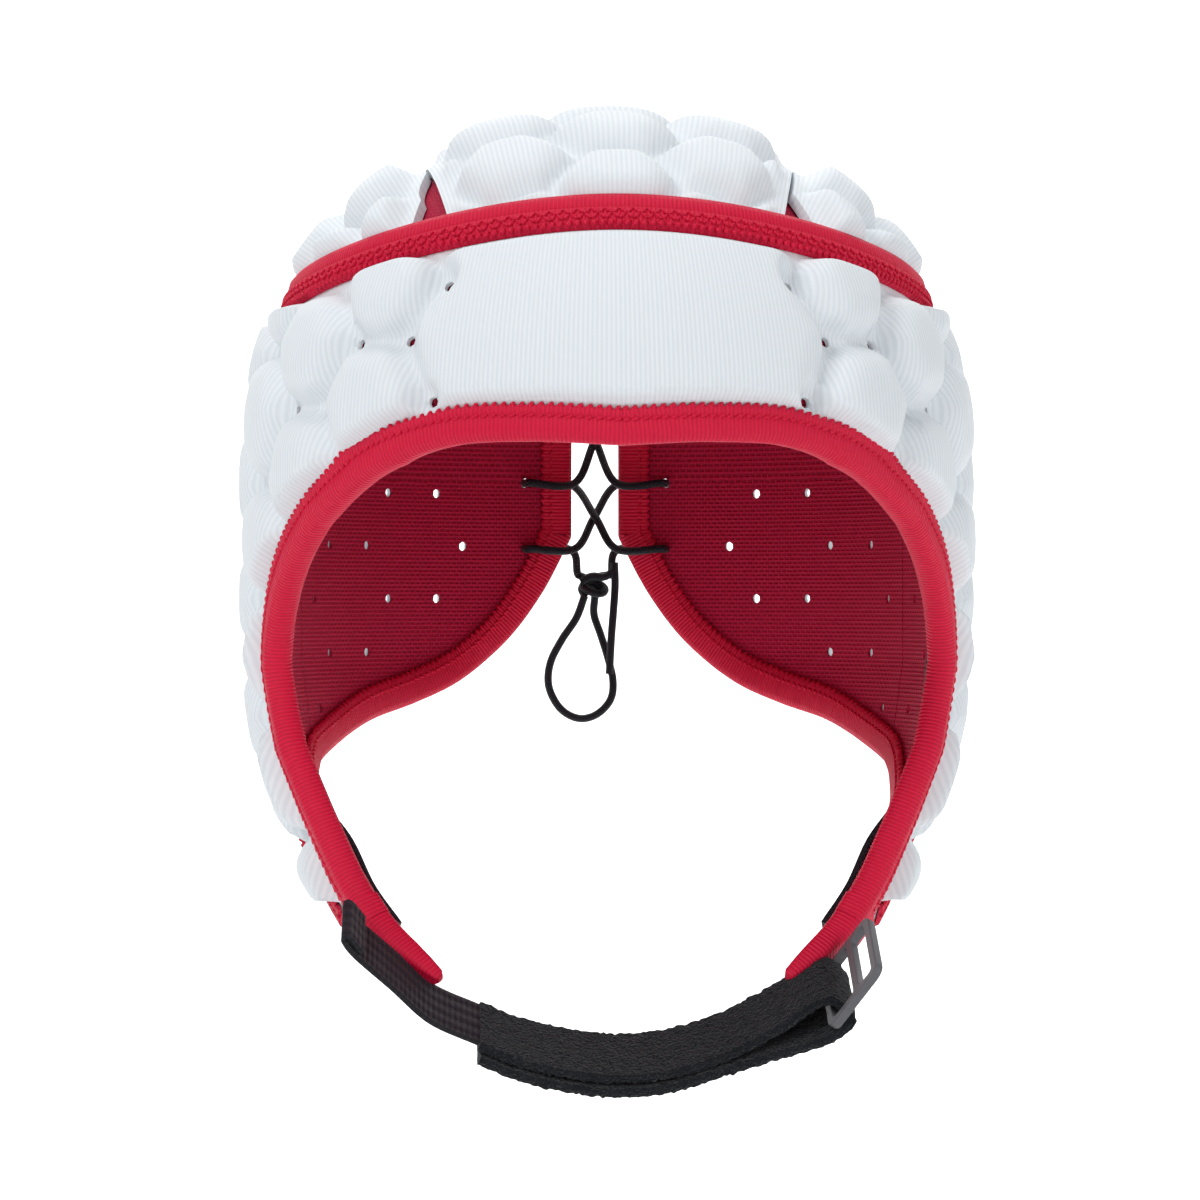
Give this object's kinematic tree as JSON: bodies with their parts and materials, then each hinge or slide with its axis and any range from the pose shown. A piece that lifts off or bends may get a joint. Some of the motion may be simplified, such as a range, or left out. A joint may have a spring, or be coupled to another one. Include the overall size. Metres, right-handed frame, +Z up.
{
  "type": "rugby scrum cap",
  "caption": "Padded rugby scrum cap with ear flaps, taped edges, a mesh lining, a laced gap at the back and a hook-and-loop chin strap.",
  "frame": {"origin": "inside of the crown, where the top of the head meets the lining", "axes": "+Z up out of the crown, -Y out of the face opening, +X to the wearer's left"},
  "size_m": [0.1858, 0.2084, 0.2428],
  "materials": {
    "jersey": "ribbed jersey over foam",
    "mesh_lining": "fine mesh",
    "tape": "ribbed, stitched",
    "webbing": "ribbed webbing",
    "fleece": "fuzzy",
    "ring": "moulded",
    "elastic": "round braid"
  },
  "bodies": {
    "root": {"front_pad": "jersey", "crown_pad": "jersey", "right_upper_pad": "jersey", "left_upper_pad": "jersey", "right_rear_pad": "jersey", "left_rear_pad": "jersey", "front_lining": "mesh_lining", "crown_lining": "mesh_lining", "right_rear_lining": "mesh_lining", "left_rear_lining": "mesh_lining", "top_binding": "tape", "face_binding": "tape", "right_rear_binding": "tape", "left_rear_binding": "tape", "right_flap_tab": "tape", "left_flap_tab": "tape", "right_inner_strap": "webbing", "left_inner_strap": "webbing", "left_webbing": "webbing", "chin_strap": "fleece", "strap_ring": "ring", "lace_weave": "elastic", "lace_knot": "elastic", "lace_loop": "elastic", "lace_tail": "elastic"}
  },
  "joints": []
}
